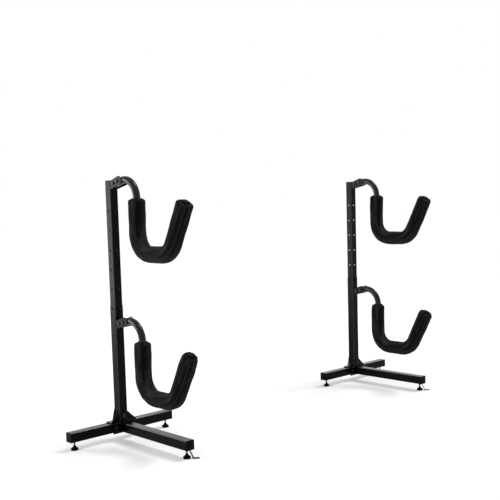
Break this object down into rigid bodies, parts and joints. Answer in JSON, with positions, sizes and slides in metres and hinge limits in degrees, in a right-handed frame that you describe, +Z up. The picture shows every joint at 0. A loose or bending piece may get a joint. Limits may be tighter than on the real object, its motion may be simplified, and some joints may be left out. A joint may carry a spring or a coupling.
{
  "type": "freestanding kayak rack",
  "caption": "Black T-based floor stands with telescoping square posts and padded J-shaped arms, one above the other, that cradle long boats.",
  "frame": {"origin": "on the floor at the middle of the footprint of both stands", "axes": "+X along the stored boats towards the right stand, -Y to the front where the arms reach and the boats are loaded, +Z up"},
  "size_m": [2.568, 0.6797, 1.3871],
  "materials": {
    "frame_paint": "satin black powder coat with a fine orange-peel texture",
    "moulded_plastic": "matt black moulded plastic",
    "black_fasteners": "black-finished steel fasteners, satin",
    "padded_fabric": "black woven fabric over foam, fine diagonal weave with soft wrinkles"
  },
  "bodies": {
    "left_stand": {"left_cross_beam": "frame_paint", "left_forward_leg": "frame_paint", "left_leg_flange": "frame_paint", "left_foot_bracket": "frame_paint", "left_lower_post": "frame_paint", "left_lock_boss": "frame_paint", "left_lower_bracket": "frame_paint", "left_lower_arm": "frame_paint", "left_anchor_strap": "frame_paint", "left_end_caps": "moulded_plastic", "left_lower_plug": "moulded_plastic", "left_flange_bolts": "black_fasteners", "left_foot_screws": "black_fasteners", "left_foot_bolt": "black_fasteners", "left_lower_arm_bolts": "black_fasteners", "left_leveller_nuts": "black_fasteners", "left_lower_pad": "padded_fabric"},
    "left_mast": {"left_upper_post": "frame_paint", "left_post_cap": "moulded_plastic", "left_upper_bracket": "frame_paint", "left_upper_arm": "frame_paint", "left_upper_arm_bolts": "black_fasteners", "left_upper_plug": "moulded_plastic", "left_upper_pad": "padded_fabric"},
    "left_lock_screw": {"left_lock_screw": "black_fasteners"},
    "left_outer_leveller": {"left_outer_leveller": "moulded_plastic"},
    "left_inner_leveller": {"left_inner_leveller": "moulded_plastic"},
    "left_front_leveller": {"left_front_leveller": "moulded_plastic"},
    "right_stand": {"right_cross_beam": "frame_paint", "right_forward_leg": "frame_paint", "right_leg_flange": "frame_paint", "right_foot_bracket": "frame_paint", "right_lower_post": "frame_paint", "right_lock_boss": "frame_paint", "right_lower_bracket": "frame_paint", "right_lower_arm": "frame_paint", "right_anchor_strap": "frame_paint", "right_end_caps": "moulded_plastic", "right_lower_plug": "moulded_plastic", "right_flange_bolts": "black_fasteners", "right_foot_screws": "black_fasteners", "right_foot_bolt": "black_fasteners", "right_lower_arm_bolts": "black_fasteners", "right_leveller_nuts": "black_fasteners", "right_lower_pad": "padded_fabric"},
    "right_mast": {"right_upper_post": "frame_paint", "right_post_cap": "moulded_plastic", "right_upper_bracket": "frame_paint", "right_upper_arm": "frame_paint", "right_upper_arm_bolts": "black_fasteners", "right_upper_plug": "moulded_plastic", "right_upper_pad": "padded_fabric"},
    "right_lock_screw": {"right_lock_screw": "black_fasteners"},
    "right_outer_leveller": {"right_outer_leveller": "moulded_plastic"},
    "right_inner_leveller": {"right_inner_leveller": "moulded_plastic"},
    "right_front_leveller": {"right_front_leveller": "moulded_plastic"}
  },
  "joints": [
    {"name": "stand_spacing", "type": "slide", "parent": "left_stand", "child": "right_stand", "axis": [1, 0, 0], "range_m": [-0.9, 0.3]},
    {"name": "left_mast_height", "type": "slide", "parent": "left_stand", "child": "left_mast", "axis": [0, 0, 1], "range_m": [-0.306, 0.102]},
    {"name": "left_lock", "type": "slide", "parent": "left_stand", "child": "left_lock_screw", "axis": [0, -1, 0], "range_m": [-0.004, 0.004]},
    {"name": "left_outer_leveller_height", "type": "slide", "parent": "left_stand", "child": "left_outer_leveller", "axis": [0, 0, 1], "range_m": [-0.007, 0.01]},
    {"name": "left_inner_leveller_height", "type": "slide", "parent": "left_stand", "child": "left_inner_leveller", "axis": [0, 0, 1], "range_m": [-0.007, 0.01]},
    {"name": "left_front_leveller_height", "type": "slide", "parent": "left_stand", "child": "left_front_leveller", "axis": [0, 0, 1], "range_m": [-0.007, 0.01]},
    {"name": "right_mast_height", "type": "slide", "parent": "right_stand", "child": "right_mast", "axis": [0, 0, 1], "range_m": [-0.306, 0.102]},
    {"name": "right_lock", "type": "slide", "parent": "right_stand", "child": "right_lock_screw", "axis": [0, -1, 0], "range_m": [-0.004, 0.004]},
    {"name": "right_outer_leveller_height", "type": "slide", "parent": "right_stand", "child": "right_outer_leveller", "axis": [0, 0, 1], "range_m": [-0.007, 0.01]},
    {"name": "right_inner_leveller_height", "type": "slide", "parent": "right_stand", "child": "right_inner_leveller", "axis": [0, 0, 1], "range_m": [-0.007, 0.01]},
    {"name": "right_front_leveller_height", "type": "slide", "parent": "right_stand", "child": "right_front_leveller", "axis": [0, 0, 1], "range_m": [-0.007, 0.01]}
  ]
}
